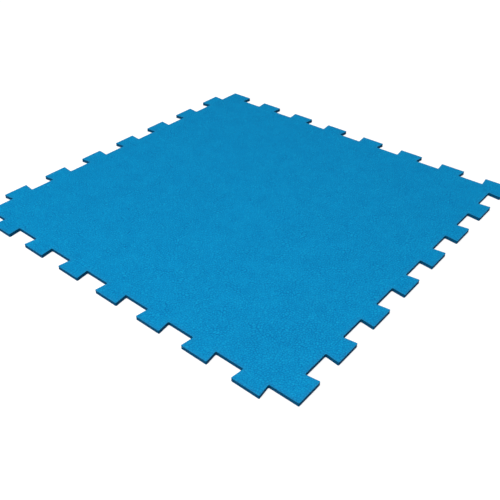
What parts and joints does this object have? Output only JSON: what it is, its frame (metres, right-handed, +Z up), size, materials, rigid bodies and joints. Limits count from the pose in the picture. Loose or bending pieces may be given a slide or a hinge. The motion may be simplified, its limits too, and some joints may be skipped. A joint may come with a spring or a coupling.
{
  "type": "interlocking mat tile",
  "caption": "Thin square foam mat tile with dovetail tabs on all four sides, which locks to identical tiles; leather-grain top, waffle grip underside.",
  "frame": {"origin": "middle of the bounding box's underside, on the floor", "axes": "+Z up out of the embossed face; +X and +Y point out of the two sides with eight tabs"},
  "size_m": [1.0334, 1.0334, 0.0095],
  "materials": {
    "wear_skin": "satin, leather-grain embossed, bright blue",
    "foam_core": "matt cut closed-cell foam, deep blue",
    "grip_skin": "matt, square pads between shallow grooves, deep blue"
  },
  "bodies": {
    "root": {"wear_skin": "wear_skin", "foam_core": "foam_core", "grip_skin": "grip_skin"}
  },
  "joints": []
}
